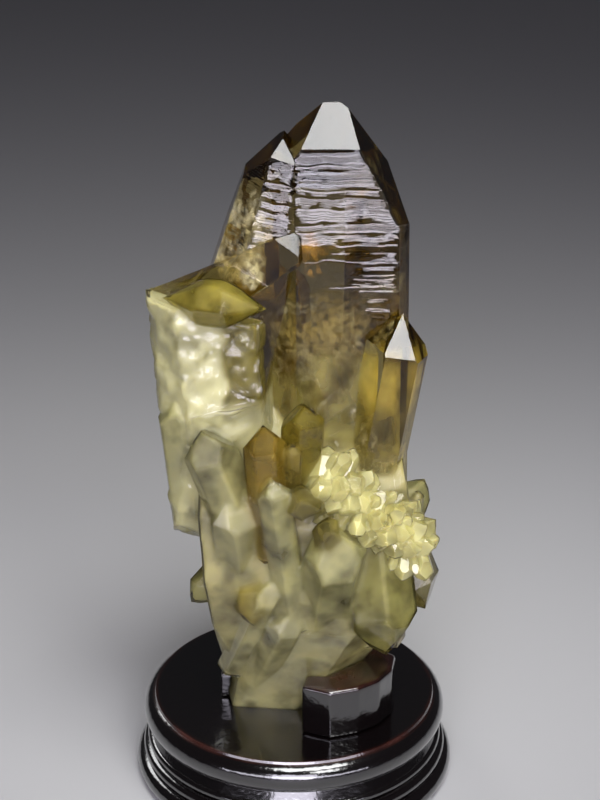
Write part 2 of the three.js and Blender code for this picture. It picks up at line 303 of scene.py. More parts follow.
# %% A face as a grid
def face_grid(plane, corners, axis, levels, columns):
    """Points of one face as (row, column): at each level the face's chord from its left to its right
    side, split evenly. Also gives the rows' levels and each point's distance from the nearest edge."""
    normal, offset = plane[:3], plane[3]
    across = unit(np.cross(axis, normal))
    outward = np.cross(across, axis)
    height, side = corners @ axis, corners @ across
    order = np.argsort(np.arctan2(height - height.mean(), side - side.mean()))
    h0, s0 = height[order], side[order]
    h1, s1 = np.roll(h0, -1), np.roll(s0, -1)
    rows = levels[(levels > h0.min() - 1e-7) & (levels < h0.max() + 1e-7)]
    rise = np.where(abs(h1 - h0) > 1e-7, h1 - h0, np.nan)
    share = (np.clip(rows, h0.min(), h0.max())[:, None] - h0) / rise
    cut = np.where(abs(share - 0.5) < 0.5 + 1e-4, s0 + share * (s1 - s0), np.nan)
    left, right = np.nanmin(cut, 1), np.nanmax(cut, 1)
    u = np.linspace(0, 1, columns + 1)
    sides = left[:, None] + (right - left)[:, None] * u
    out = (offset - rows * (normal @ axis)) / (normal @ outward)
    points = (rows[:, None] * axis + out[:, None] * outward)[:, None] + sides[..., None] * across
    to_side = np.minimum(u, 1 - u) * (right - left)[:, None]
    to_end = np.minimum(rows - rows[0], rows[-1] - rows)[:, None]
    return points, rows, np.minimum(to_side, to_end)


def grid_quads(rows, columns, start=0):
    """Corner numbers of the quads of a grid of points, counted row by row from start."""
    i = np.arange(rows * columns).reshape(rows, columns) + start
    return np.stack([i[:-1, :-1], i[:-1, 1:], i[1:, 1:], i[1:, :-1]], -1).reshape(-1, 4)


# %% [markdown]
# A real crystal is solid, and a clear one only bends light rightly if its mesh has no gap. The faces could be
# sewn together by hand, but their grids share their borders, so merging the points that coincide closes
# them.

# %% Closed meshes
MERGE_DISTANCE = 3e-6  # points of neighbouring grids that are this close are one


def add_object(name, mesh):
    """A new object that shows the mesh."""
    piece = bpy.data.objects.new(name, mesh)
    scene.collection.objects.link(piece)
    return piece


def closed_mesh(name, points, faces):
    """A mesh from points and faces whose doubled points are merged, open ends filled and faces turned
    outwards."""
    mesh = bpy.data.meshes.new(name)
    mesh.from_pydata(points, [], faces)
    work = bmesh.new()
    work.from_mesh(mesh)
    bmesh.ops.remove_doubles(work, verts=work.verts, dist=MERGE_DISTANCE)
    bmesh.ops.holes_fill(work, edges=[e for e in work.edges if e.is_boundary])
    bmesh.ops.recalc_face_normals(work, faces=work.faces)
    work.to_mesh(mesh)
    work.free()
    return mesh


# %% [markdown]
# The prism faces of quartz carry growth lines across them: narrow steps where the crystal grew in spurts. A
# bump map would fake them, but the steps catch the light as small facets of their own, so they are real
# here. Broken and milky crystals are uneven in another way: noise pushes their points about.

# %% Growth lines and wear
EDGE_FADE = 0.7 * MM  # growth lines die out this close to a face's edge
LINE_SWAY = 1.1 * MM  # how far they wander up and down
LINES_SHALLOW, LINES_DEEP = 0.184, 0.200  # heights between which they set in
BACK_LIMIT, ROOF_LIMIT = 0.1, 0.3  # a face that looks further back or up than this carries none


def spurts(low, high, band, seam, depth, seed):
    """Growth lines between two heights: broad bands that lean back a little, each closed by a narrow
    seam that steps out again. band and seam are ranges of height and depth a range of lean depth, in
    millimetres."""
    rng = np.random.default_rng(seed)
    count = int(1.3 * (high - low) / (np.mean(band) + np.mean(seam)))
    runs = np.stack([rng.uniform(*band, count), rng.uniform(*seam, count)], 1).ravel()
    inset = np.stack([-rng.uniform(*depth, count), np.zeros(count)], 1).ravel()
    heights = low + np.cumsum(runs)
    kept = heights < high
    return heights[kept] * MM, inset[kept] * MM


def lined(grid, rows, edge, plane, axis, growth_lines):
    """Cuts growth lines into a face: each row is set back by its own depth. They are deep on top, fade
    below except in a few patches, sway up and down, and die out at the face's edges."""
    fade = np.clip(edge / EDGE_FADE, 0, 1)
    on_top = np.clip((grid[..., 2] - LINES_SHALLOW) / (LINES_DEEP - LINES_SHALLOW), 0.04, 1)
    patches = np.clip(5 * (cloud(grid, 14 * MM, 2) - 0.56), 0, 0.8)
    uneven = np.clip(2.4 * cloud(grid * [1, 1, 2.5], 12 * MM, 3) - 0.2, 0.35, 1)
    depth = np.interp(rows, *growth_lines)[:, None] * fade * uneven * np.maximum(on_top, patches)
    sway = LINE_SWAY * (2 * cloud(grid, 5 * MM, 3) - 1) * fade
    return grid + depth[..., None] * plane[:3] + sway[..., None] * axis


def weathered(points, amount, size):
    """Points pushed about by three noises, one for each direction. The same place always gets the same
    push, so faces that share an edge keep sharing it."""
    push = [cloud(points + 0.37 * k, size, 3) - 0.5 for k in range(3)]
    return points + 2 * amount * np.stack(push, -1)


# %% [markdown]
# A whole crystal is then every face's grid in one closed mesh. A plain corner mesh would do for the small
# points, but growth lines and worn faces need rows of points to move, so a face takes as many rows as it is
# asked for.

# %% A whole crystal
def crystal(name, columns=1, step=0, wear=None, growth_lines=None, inset=0):
    """One crystal, closed: a grid on each of its faces, with rows at every step or growth line.
    wear is the amount and size of its unevenness, and inset moves every face inwards."""
    planes, axis = CRYSTALS[name]
    planes = planes - np.array([0, 0, 0, inset])
    corners = corners_of(planes)
    touching = abs(corners @ planes[:, :3].T - planes[:, 3]) < 1e-6
    heights = corners @ axis
    extra = growth_lines[0] if growth_lines else []
    if step:
        extra = np.arange(heights.min(), heights.max(), step)
    levels = np.unique(np.round(np.concatenate([heights, extra]), 7))
    points, quads, count = [], [], 0
    for plane, on_face in zip(planes, touching.T):
        if on_face.sum() < 3 or abs(plane[:3] @ axis) > 0.9999:
            continue
        grid, rows, edge = face_grid(plane, corners[on_face], axis, levels, columns)
        if growth_lines and plane[1] < BACK_LIMIT and plane[2] < ROOF_LIMIT:
            grid = lined(grid, rows, edge, plane, axis, growth_lines)
        if wear:
            grid = weathered(grid, *wear)
        points.append(grid.reshape(-1, 3))
        quads.append(grid_quads(*grid.shape[:2], count))
        count += grid.shape[0] * grid.shape[1]
    return add_object(name, closed_mesh(name, np.concatenate(points), np.concatenate(quads)))


# %% [markdown]
# Crystals that grew into each other have one common skin. Boolean union is Blender's tool for that. A gap
# sealed between them would be a second, inner skin, so only the largest loose part is kept.

# %% Grow crystals together
def evaluated_mesh(piece):
    """The piece's mesh with its modifiers applied, as a new mesh."""
    depsgraph = bpy.context.evaluated_depsgraph_get()
    return bpy.data.meshes.new_from_object(piece.evaluated_get(depsgraph))


def keep_outer_skin(piece):
    """Splits a mesh into its loose parts and keeps the one with most points."""
    name = piece.name
    bpy.ops.object.select_all(action="DESELECT")
    piece.select_set(True)
    bpy.context.view_layer.objects.active = piece
    bpy.ops.object.mode_set(mode="EDIT")
    bpy.ops.mesh.select_all(action="SELECT")
    bpy.ops.mesh.separate(type="LOOSE")
    bpy.ops.object.mode_set(mode="OBJECT")
    skins = sorted(bpy.context.selected_objects, key=lambda o: len(o.data.vertices))
    for inner in skins[:-1]:
        bpy.data.objects.remove(inner)
    skins[-1].name = name
    return skins[-1]


def grown_together(name, parts):
    """The union of overlapping closed pieces, as one new object. The parts are used up."""
    first = parts[0]
    for part in parts[1:]:
        union = first.modifiers.new(part.name, "BOOLEAN")
        union.operation = "UNION"
        union.solver = "MANIFOLD"
        union.object = part
    piece = add_object(name, evaluated_mesh(first))
    for part in parts:
        bpy.data.objects.remove(part)
    return piece


def triangles(piece):
    """How many triangles a piece has."""
    piece.data.calc_loop_triangles()
    return len(piece.data.loop_triangles)


# %% [markdown]
# The druse is a crust of small bright points that stand out all round a slanting core line. Setting them by
# hand would take long, so the golden share spreads them: large ones first, then a second row of buds
# between them.

# %% Druse points
DRUSE_START = np.array([9, -31.5, 123])
DRUSE_END = np.array([40, -25, 95])
DRUSE_SWEEP = 115  # degrees to each side of straight out from the stone
DRUSE_LEAN = 0.35  # how far the end points tip outwards along the core
GOLDEN_SHARE = 0.618034
BUD_SHIFT = 0.33  # sets the buds between the large points


def druse_point(i, count, reach, width):
    """The i-th point of a spiral row along the core line: its angle and size are multiples of the golden
    share."""
    along = unit(DRUSE_END - DRUSE_START)
    out = np.array([0.25, -1, 0.2])
    out = unit(out - along * (out @ along))
    share = (i + 0.5) / count
    spread = 2 * ((i * GOLDEN_SHARE) % 1) - 1
    size = (i * GOLDEN_SHARE * 7 + 0.3) % 1
    foot = DRUSE_START + share * (DRUSE_END - DRUSE_START)
    way = unit(turned(out, along, DRUSE_SWEEP * spread) + along * DRUSE_LEAN * (2 * share - 1))
    tip = foot + way * np.interp(size, (0, 1), reach)
    return quartz_point(tip, foot, np.interp(1 - size, (0, 1), width), 47 * i)


CRYSTALS.update({f"druse_{i}": druse_point(i, 36, (9.5, 14.5), (5.5, 9)) for i in range(36)})
for i in range(28):
    CRYSTALS[f"druse_bud_{i}"] = druse_point(i + BUD_SHIFT, 28, (8.5, 12.5), (3.4, 5.4))
DRUSE = [name for name in CRYSTALS if name.startswith("druse_")]
print("druse points", len(DRUSE))

# %% [markdown]
# The sides and the back of the milky foot are set with small sprouts. Each could be placed by hand, but
# they have no order on a real stone either, so a seeded draw picks places on the skin and the same ones
# come every time.

# %% Sprouts
def points_of(mesh):
    """The mesh's points as rows of an array."""
    flat = np.empty(3 * len(mesh.vertices), np.float32)
    mesh.vertices.foreach_get("co", flat)
    return flat.reshape(-1, 3).astype(float)


def normals_of(mesh):
    """The direction that the skin faces at each point, as rows of an array."""
    flat = np.empty(3 * len(mesh.vertices), np.float32)
    mesh.vertex_normals.foreach_get("vector", flat)
    return flat.reshape(-1, 3).astype(float)


def sprouts(bed, count, seed):
    """Small points half sunk in the bed, at random places on its sides and back, that lean outwards and
    mostly up. They are added to the crystals. Gives their names."""
    rng = np.random.default_rng(seed)
    places, outward = points_of(bed.data), normals_of(bed.data)
    y, z = places.T[1:] / MM
    fit = np.flatnonzero((z > 64) & (z < 140) & (y > -12) & (abs(outward[:, 2]) < 0.55))
    names = [f"sprout_{i}" for i in range(count)]
    for name, i in zip(names, rng.choice(fit, count, replace=False)):
        axis = unit(UP + 0.2 * outward[i] + 0.22 * rng.normal(size=3))
        width = rng.uniform(2.5, 5.5)
        half = axis * width * rng.uniform(1.0, 2.2)
        middle = places[i] / MM - 0.4 * width * outward[i]
        CRYSTALS[name] = quartz_point(middle + half, middle - half, width, rng.uniform(0, 60))
    return names


# %% [markdown]
# The stone is one body, so it gets one skin of clear quartz. The main points have sharp faces with growth
# lines, the block at the left a rough break, and the crystals of the milky foot slightly uneven faces.
# Milk, clouds and stains are made further down as things that lie inside this skin.

# %% The skin of the stone
CLEAR = ["main_crystal", "leaning_twin", "right_point", "top_slab"]
HONEY = [
    "brown_point", "olive_point", "bud_point", "olive_bud_left", "olive_bud_right", "hanging_point",
    "right_foot", "left_bud", "left_bud_small", "olive_lump", "lozenge",
]
MILKY = [
    "broken_block", "milky_body", "standing_foot", "milky_column", "broad_prism", "leaning_prism",
    "left_column", "milky_prism", "slant_prism_low", "slant_prism_foot", "side_right", "back_tall",
    "back_right", "back_left", "back_low", "back_bud", "back_left_bud", "side_bud",
]
BREAK = (1.5 * MM, 5 * MM)  # amount and size of the broken block's roughness
WAVES = (0.2 * MM, 8 * MM)  # the same for the milky crystals
BLOCK_GRID = (38, 1.05 * MM, BREAK)  # columns, row step and wear
MILKY_GRID = (8, 2.5 * MM, WAVES)
HONEY_GRID = (4, 2 * MM, WAVES)
SPROUT_GRID = (3, 2 * MM, WAVES)
FINE_LINES = {"band": (0.3, 0.75), "seam": (0.1, 0.22), "depth": (0.05, 0.17)}
COARSE_LINES = {"band": (1.0, 3.0), "seam": (0.3, 0.6), "depth": (0.05, 0.12)}

twin_axis = unit([0.2, 0, 1])
CRYSTALS["leaning_twin"] = (CRYSTALS["leaning_twin"][0], twin_axis)
clear = [
    crystal("main_crystal", 30, growth_lines=spurts(142, 224.4, **FINE_LINES, seed=11)),
    crystal("leaning_twin", 14, growth_lines=spurts(160, 222, **FINE_LINES, seed=12)),
    crystal("right_point", 4, growth_lines=spurts(90, 165, **COARSE_LINES, seed=13)),
    crystal("top_slab", 8, 3 * MM, WAVES),
    crystal("broken_block", *BLOCK_GRID),
]
milky = grown_together("milky", [crystal(name, *MILKY_GRID) for name in MILKY[1:]])
SPROUTS = sprouts(milky, 26, 31)
milky = grown_together("milky_with_sprouts", [milky] + [crystal(name, *SPROUT_GRID) for name in SPROUTS])
honey = grown_together("honey", [crystal(name, *HONEY_GRID) for name in HONEY])
druse = grown_together("druse", [crystal(name) for name in DRUSE])
skin = keep_outer_skin(grown_together("citrine_skin", clear + [milky, honey, druse]))
skin.data.shade_smooth()
skin.data.set_sharp_from_angle(angle=math.radians(9))
print("skin", triangles(skin), "triangles")

# %% [markdown]
# The small points are honey, brown or olive, while the large ones are nearly clear. Each crystal could have
# a material of its own, but they share one skin, so the tint is stored on its points. It blends into the
# neighbours' tints where crystals meet.

# %% Tints of the skin
WINDOW_LEFT, WINDOW_FOOT = -22.5, 143  # left side and foot of the block's clear part, in millimetres
CLEAR_TINT = (1.0, 0.98, 0.92)
OLIVE_TINT = (0.72, 0.66, 0.34)
SKIN_TINTS = {
    **dict.fromkeys(["brown_point", "bud_point"], (0.74, 0.60, 0.20)),
    **dict.fromkeys(["olive_bud_left", "olive_bud_right", "olive_lump"], (0.60, 0.52, 0.18)),
    **dict.fromkeys(["hanging_point", "right_foot"], (0.80, 0.76, 0.46)),
    **dict.fromkeys(["left_bud", "left_bud_small"], (0.86, 0.83, 0.55)),
    "olive_point": (0.56, 0.48, 0.14),
    "lozenge": (0.66, 0.60, 0.24),
    "top_slab": OLIVE_TINT,
    "right_point": (0.84, 0.76, 0.48),
}
MILKY_FROST = 0.35
FROST = {"broken_block": 0.4, **dict.fromkeys(CLEAR + DRUSE, 0.0), **dict.fromkeys(HONEY, 0.15)}


def add_values(mesh, name, values):
    """Stores one number, or one colour, for each point of the mesh."""
    if values.ndim == 1:
        mesh.attributes.new(name, "FLOAT", "POINT").data.foreach_set("value", values.astype(np.float32))
        return
    colours = mesh.color_attributes.new(name, "FLOAT_COLOR", "POINT")
    rgba = np.column_stack([values, np.ones(len(values))])
    colours.data.foreach_set("color", rgba.astype(np.float32).ravel())


def nearness(points, names, blend):
    """How much of each crystal a point of their common skin has: it halves with every blend length away
    from that crystal's own faces, and the shares add up to one."""
    away = np.stack([depth_in(points, CRYSTALS[name][0]) for name in names], 1)
    share = np.exp2(-away / blend)
    return share / share.sum(1, keepdims=True)


def glassy_window(points):
    """1 in the clear olive part of the broken block, at its upper right, and 0 outside. Noise makes its
    rim ragged."""
    ragged = 6 * MM * (cloud(points, 8 * MM, 2) - 0.5)
    from_left = np.clip((points[:, 0] + ragged) / MM - WINDOW_LEFT, 0, 2.5) / 2.5
    from_foot = np.clip(points[:, 2] / MM - WINDOW_FOOT, 0, 5) / 5
    return from_left * from_foot


names = CLEAR + MILKY + SPROUTS + HONEY + DRUSE
tints = np.array([SKIN_TINTS.get(name, CLEAR_TINT) for name in names])
shares = nearness(points_of(skin.data), names, 0.4 * MM)
window = (glassy_window(points_of(skin.data)) * shares[:, names.index("broken_block")])[:, None]
add_values(skin.data, "tint", shares @ tints * (1 - window) + window * OLIVE_TINT)
add_values(skin.data, "rough", shares @ np.array([FROST.get(name, MILKY_FROST) for name in names]))
print("tints blended from", len(names), "crystals")

# %% [markdown]
# The foot of the stone is milky: under the clear skin lies a body of milk, denser in some places than in
# others. Boolean union would give it sharp edges, so a voxel remesh melts its crystals into one soft skin.
# In the main crystal the milk thins out upwards into wisps.

# %% Milk under the skin
MILK_DEPTH = 0.35 * MM
CLOUD_DEPTH = 2.5 * MM
BLOCK_DEPTH = 0.8 * MM
MILK_VOXEL = 0.86 * MM


def melted_together(name, parts, voxel, rounds):
    """Overlapping pieces as one skin with soft edges: a voxel remesh and some rounds of smoothing."""
    first = parts[0]
    bpy.ops.object.select_all(action="DESELECT")
    for part in parts:
        part.select_set(True)
    bpy.context.view_layer.objects.active = first
    if len(parts) > 1:
        bpy.ops.object.join()
    remesh = first.modifiers.new("melt", "REMESH")
    remesh.mode = "VOXEL"
    remesh.voxel_size = voxel
    soften = first.modifiers.new("soften", "SMOOTH")
    soften.factor = 0.5
    soften.iterations = rounds
    piece = add_object(name, evaluated_mesh(first))
    bpy.data.objects.remove(first)
    return piece


CRYSTALS["core_of_druse"] = quartz_point((41, -25, 94), (8, -31.5, 124), 10, 0)
cloud_roof = face(0, 90, 0, 0, 168)
CRYSTALS["cloud_core"] = (np.vstack([CRYSTALS["main_crystal"][0], cloud_roof]), UP)
milk = [crystal("broken_block", *BLOCK_GRID, inset=BLOCK_DEPTH)]
milk += [crystal(name, *MILKY_GRID, inset=MILK_DEPTH) for name in MILKY[1:] + SPROUTS]
milk += [crystal(name, *HONEY_GRID, inset=2 * MILK_DEPTH) for name in HONEY]
milk += [crystal("core_of_druse", *HONEY_GRID), crystal("cloud_core", 8, 3 * MM, WAVES, inset=CLOUD_DEPTH)]
milk = keep_outer_skin(melted_together("milk", milk, MILK_VOXEL, 1))
milk.data.shade_smooth()
print("milk", triangles(milk), "triangles")

# %% [markdown]
# Milk in quartz is cream where it is thick and grey, green or russet where it is stained. As on the skin,
# each crystal gives its own tint to the points near it, and noise makes the tint uneven.

# %% Tints of the milk
CREAM = (0.30, 0.292, 0.165)
PALE = (0.205, 0.197, 0.082)
GREY_OLIVE = (0.22, 0.20, 0.082)
GREY_GREEN = (0.21, 0.20, 0.095)
DIM_OLIVE = (0.175, 0.165, 0.07)
STRAW = (0.46, 0.445, 0.21)
OLIVE_CLOUD = (0.43, 0.395, 0.14)
RUSSET = (0.23, 0.175, 0.035)
DARK_OLIVE = (0.22, 0.195, 0.05)
PALE_CRYSTALS = [
    "milky_column", "broad_prism", "left_column", "hanging_point", "left_bud",
    "back_left", "back_bud", "side_bud",
]
MILK_TINTS = {
    **dict.fromkeys(PALE_CRYSTALS, PALE),
    **dict.fromkeys(["standing_foot", "slant_prism_low", "slant_prism_foot"], GREY_GREEN),
    **dict.fromkeys(["milky_prism", "leaning_prism"], DIM_OLIVE),
    **dict.fromkeys(["olive_point", "lozenge"], DARK_OLIVE),
    "broken_block": CREAM,
    "core_of_druse": STRAW,
    "cloud_core": OLIVE_CLOUD,
    "brown_point": RUSSET,
    "olive_lump": (0.26, 0.22, 0.04),
}
WINDOW_LOSS = (0.45, 0.5, 0.75)  # share of red, green and blue that the block's clear part takes away
MILK = MILKY + SPROUTS + HONEY + ["core_of_druse", "cloud_core"]
spots = points_of(milk.data)
shares = nearness(spots, MILK, 0.7 * MM)
glassy = glassy_window(spots) * shares[:, MILK.index("broken_block")]
tints = shares @ np.array([MILK_TINTS.get(name, GREY_OLIVE) for name in MILK])
tints *= (0.5 + 1.05 * cloud(spots + 0.2, 9 * MM, 4))[:, None]
add_values(milk.data, "tint", tints * (1 - glassy[:, None] * WINDOW_LOSS))
print("milk's mean tint", tints.mean(0).round(3))

# %% [markdown]
# The milk is dense in the foot and thin in the honey-coloured points. A fog volume would show that, but it
# renders slowly and noisily. Here each point of the milk's skin has a mist from 0 to 1, which the finish
# reads as alpha.

# %% Mist of the milk
CLOUD_FOOT, CLOUD_RISE = 0.112, 0.06  # height where the milk starts to thin out, and over which it goes
THICKNESS = {
    **dict.fromkeys(HONEY, 0.5),
    "hanging_point": 0.8,
    "lozenge": 0.7,
    "left_bud": 0.9,
    "left_bud_small": 0.9,
    "olive_lump": 0.8,
    "broken_block": 1.5,
    "core_of_druse": 1.5,
}
sunk = np.max([-depth_in(spots, CRYSTALS[name][0]) for name in CLEAR], 0)
inside = np.clip(sunk / (1.5 * MM), 0, 1)
wisps = cloud(spots, 15 * MM, 4)
thinning = np.clip((spots[:, 2] - CLOUD_FOOT + 0.12 * (wisps - 0.5)) / CLOUD_RISE, 0, 1)
patchy = np.clip(0.85 + 1.7 * (cloud(spots + 0.5, 6 * MM, 4) - 0.5), 0.4, 1)
density = shares @ np.array([THICKNESS.get(name, 1.0) for name in MILK]) * (1 - 0.55 * glassy)
mist = np.clip(patchy * density, 0, 1) * (1 - inside * thinning)
add_values(milk.data, "mist", mist)
print("milk's mean mist", mist.mean().round(3))

# %% [markdown]
# The points of the druse are milky right up to their faces. Melting would round them like beads, so their
# milk is the same sharp union as their skin, a little smaller.

# %% Milk in the druse
druse_milk = grown_together("druse_milk", [crystal(name, inset=0.3 * MM) for name in DRUSE])
druse_milk = keep_outer_skin(druse_milk)
spots = points_of(druse_milk.data)
add_values(druse_milk.data, "tint", np.outer(0.5 + cloud(spots, 4 * MM, 2), STRAW))
add_values(druse_milk.data, "mist", np.clip(0.05 + 0.8 * cloud(spots + 0.3, 5 * MM, 2), 0, 1))
druse_milk.data.shade_smooth()
druse_milk.data.set_sharp_from_angle(angle=math.radians(9))
print("druse milk", triangles(druse_milk), "triangles")

# %% [markdown]
# Clouds in quartz are veils: healed cracks full of tiny bubbles. A solid fog would hide their shape, so
# each is a thin lens, bent by noise and kept inside its crystal, and only as dense as its own mist.

# %% A lens
VEIL_RINGS, VEIL_SPOKES = 9, 24
VEIL_THICKNESS = 0.25 * MM
VEIL_MARGIN = 0.6 * MM  # how far a veil stays inside its crystal's faces
OFF_AXIS = [0.31, 0.95, 0.07]  # crossed with a veil's facing, it gives a direction in the veil


def lens(centre, facing, radius, planes):
    """A bent lens: rings from its front pole over the rim to its back pole. A point at share r of the
    radius is raised along the facing by noise, plus or minus the half thickness sqrt(1 - r r). Points
    that would leave the crystal are pulled back towards the centre. Gives the points and each one's
    r."""
    r = np.linspace(0.1, 1, VEIL_RINGS)
    r = np.concatenate([r, r[-2::-1]])
    half = np.concatenate([np.ones(VEIL_RINGS), -np.ones(VEIL_RINGS - 1)]) * np.sqrt(1 - r * r)
    angle = np.linspace(0, 2 * np.pi, VEIL_SPOKES, endpoint=False)
    first = unit(np.cross(facing, OFF_AXIS))
    second = np.cross(facing, first)
    rim = np.cos(angle)[:, None] * first + np.sin(angle)[:, None] * second
    flat = centre + radius * r[:, None, None] * rim
    raised = 0.7 * radius * (cloud(flat, radius, 2) - 0.5)[..., None] + VEIL_THICKNESS * half[:, None, None]
    ray = flat + raised * facing - centre
    room = planes[:, 3] - VEIL_MARGIN - planes[:, :3] @ centre
    pace = ray @ planes[:, :3].T
    reach = np.where(pace > 1e-9, room / np.maximum(pace, 1e-9), np.inf).min(-1)
    points = centre + ray * np.clip(reach, 0, 1)[..., None]
    return points.reshape(-1, 3), np.broadcast_to(r[:, None], points.shape[:2]).ravel()


def lens_faces(start):
    """Quads that run round each ring of a lens and a cap at both poles."""
    rings = 2 * VEIL_RINGS - 1
    i = np.arange(rings * VEIL_SPOKES).reshape(rings, VEIL_SPOKES) + start
    j = np.roll(i, -1, 1)
    sides = np.stack([i[:-1], i[1:], j[1:], j[:-1]], -1).reshape(-1, 4).tolist()
    return sides + [i[0].tolist(), i[-1, ::-1].tolist()]


# %% [markdown]
# The large crystal has broad veils, the leaning twin bright wisps, and rust on a few small lenses makes the
# orange stain under the front face. A real veil lies where a crack healed, which nobody can foresee, so a
# seeded draw scatters them in a box inside each crystal.

# %% Veils and stains
def veils(name, crystals, seed):
    """Lenses scattered in crystals. Each entry has a crystal, a count, a range of heights, a range of
    radii, a mist, and the lowest and highest x and y of their centres, in millimetres."""
    rng = np.random.default_rng(seed)
    points, mists, faces, total = [], [], [], 0
    for home, count, heights, radii, mist, low, high in crystals:
        planes = CRYSTALS[home][0]
        while count:
            centre = rng.uniform(low, high) * MM
            centre[2] = np.interp(rng.random() ** 1.4, (0, 1), heights) * MM
            facing = unit(rng.normal(size=3) * [1, 1.6, 0.7])
            radius = rng.uniform(*radii) * MM
            if depth_in(centre, planes) > -2.5 * MM:
                continue
            spots, r = lens(centre, facing, radius, planes)
            points.append(spots)
            mists.append(mist * rng.uniform(0.5, 1) * (1 - r**2))
            faces += lens_faces(total)
            total += len(spots)
            count -= 1
    mesh = bpy.data.meshes.new(name)
    mesh.from_pydata(np.concatenate(points), [], faces)
    add_values(mesh, "mist", np.concatenate(mists))
    mesh.shade_smooth()
    return add_object(name, mesh)


cloud_veils = veils(
    "cloud_veils",
    [
        ("main_crystal", 34, (100, 172), (7, 17), 0.75, (-4, -16, 0), (32, 14, 0)),
        ("main_crystal", 8, (168, 214), (4, 9), 0.3, (2, -14, 0), (30, 10, 0)),
        ("right_point", 12, (90, 150), (4, 9), 0.4, (18, -26, 0), (38, -4, 0)),
        ("top_slab", 8, (150, 182), (5, 10), 0.3, (-42, -16, 0), (-4, 6, 0)),
    ],
    21,
)
white_wisps = veils(
    "white_wisps",
    [
        ("leaning_twin", 16, (188, 207), (2.5, 6), 1.0, (-20, -17, 0), (-11, -4, 0)),
        ("leaning_twin", 14, (183, 200), (2.5, 5), 1.0, (-25, -15, 0), (-16, 2, 0)),
        ("top_slab", 7, (180, 192), (2, 5), 0.8, (-14, -20, 0), (-9, -14, 0)),
        ("main_crystal", 12, (120, 165), (3, 8), 0.6, (-2, -17, 0), (32, -6, 0)),
    ],
    23,
)
rust_stains = veils(
    "rust_stains", [("main_crystal", 18, (186, 200), (1.2, 3.6), 0.8, (2, -16.5, 0), (12, -12, 0))], 22
)
print("veils", {piece.name: triangles(piece) for piece in (cloud_veils, white_wisps, rust_stains)})

# %% [markdown]
# The stand is turned on a lathe, so its profile is carried round its axis, as Blender's screw modifier
# would do. Worked out as a grid, the profile's arcs can be as fine as they need to be. The stone's foot, a
# little larger, then cuts its pocket.

# %% Stand
FOOT_RADIUS, RIM_RADIUS, RIM_ROUND, RIM_HEIGHT = 55, 52, 5.6, 23
WELL_RADIUS, PLATE_TOP, POCKET_FLOOR = 48, 29, 27
STONE_GAP = 0.4
FOOT_INSET = 5  # how far the underside stays inside the foot radius
CENTRE_HOLE = 0.5  # radius at which the profile starts and ends, closed by a small disc
PLATE_RINGS = (WELL_RADIUS, 47.4, 46.8, 46, 30, CENTRE_HOLE)  # close together at the worn groove
MOULDINGS = [(3.5, 3.5, 3.5), (4.2, 9, 1.8), (5.4, 12.8, 1.5)]  # inset, height and radius of each half-round
ROUND_STEPS = 144


def arc(radius, height, round_radius, start, end, steps):
    """Points (radius, height) along part of a circle, between two angles in degrees."""
    a = np.radians(np.linspace(start, end, steps))
    return np.stack([radius + round_radius * np.cos(a), height + round_radius * np.sin(a)], 1)


def lathe(name, profile, steps):
    """The profile (radius, height) carried round the axis: point (r cos a, r sin a, h) for each step's
    angle."""
    a = np.linspace(0, 2 * np.pi, steps + 1)
    ring = np.stack([np.cos(a), np.sin(a)], 1)
    wide = profile[:, None, :1] * ring
    tall = np.broadcast_to(profile[:, None, 1:], (len(profile), steps + 1, 1))
    points = np.concatenate([wide, tall], -1) * MM
    return add_object(name, closed_mesh(name, points.reshape(-1, 3), grid_quads(*points.shape[:2])))


profile = np.concatenate(
    [[(CENTRE_HOLE, 0), (FOOT_RADIUS - FOOT_INSET, 0)]]
    + [arc(FOOT_RADIUS - inset, height, radius, -90, 90, 9) for inset, height, radius in MOULDINGS]
    + [arc(RIM_RADIUS - RIM_ROUND, RIM_HEIGHT, RIM_ROUND, -76, 70, 15)]
    + [[(radius, PLATE_TOP) for radius in PLATE_RINGS]]
)
stand = lathe("turned_stand", profile, ROUND_STEPS)
foot = CRYSTALS["standing_foot"][0].copy()
foot[:, 3] += STONE_GAP * MM
foot[-2, 3] = (PLATE_TOP + 1) * MM
foot[-1, 3] = -POCKET_FLOOR * MM
CRYSTALS["pocket"] = (foot, UP)
pocket = crystal("pocket")
cut = stand.modifiers.new("pocket", "BOOLEAN")
cut.operation = "DIFFERENCE"
cut.solver = "MANIFOLD"
cut.object = pocket
turned_stand = add_object("stand", evaluated_mesh(stand))
for used in (stand, pocket):
    bpy.data.objects.remove(used)
turned_stand.data.shade_smooth()
turned_stand.data.set_sharp_from_angle(angle=math.radians(35))
print("stand", triangles(turned_stand), "triangles")

# %% [markdown]
# The lugs are sawn blocks, glued to the plate and lacquered with it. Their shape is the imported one. A bevel
# would soften only the edges, but hand-sanded wood is uneven all over, so a copy is melted, smoothed and
# pushed about by a little noise.

# %% Lugs
LUG_VOXEL = 0.5 * MM
LUG_WEAR, LUG_WEAR_SIZE = 0.12 * MM, 6 * MM


def softened_copy(node, name):
    """A copy of a plain CAD piece with its loose triangles merged and its edges worn soft."""
    copy = add_object(name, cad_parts[node].data.copy())
    work = bmesh.new()
    work.from_mesh(copy.data)
    bmesh.ops.remove_doubles(work, verts=work.verts, dist=1e-6)
    work.to_mesh(copy.data)
    work.free()
    worn = melted_together(name, [copy], LUG_VOXEL, 10)
    points, outward = points_of(worn.data), normals_of(worn.data)
    points += outward * LUG_WEAR * (cloud(points, LUG_WEAR_SIZE, 2) - 0.6)[:, None]
    worn.data.vertices.foreach_set("co", points.astype(np.float32).ravel())
    worn.data.update()
    worn.data.shade_smooth()
    return worn


lugs = {node: softened_copy(node, f"{node}_worn") for node in ("lug_front", "lug_left", "lug_back")}
print("lugs", {name: triangles(lug) for name, lug in lugs.items()})

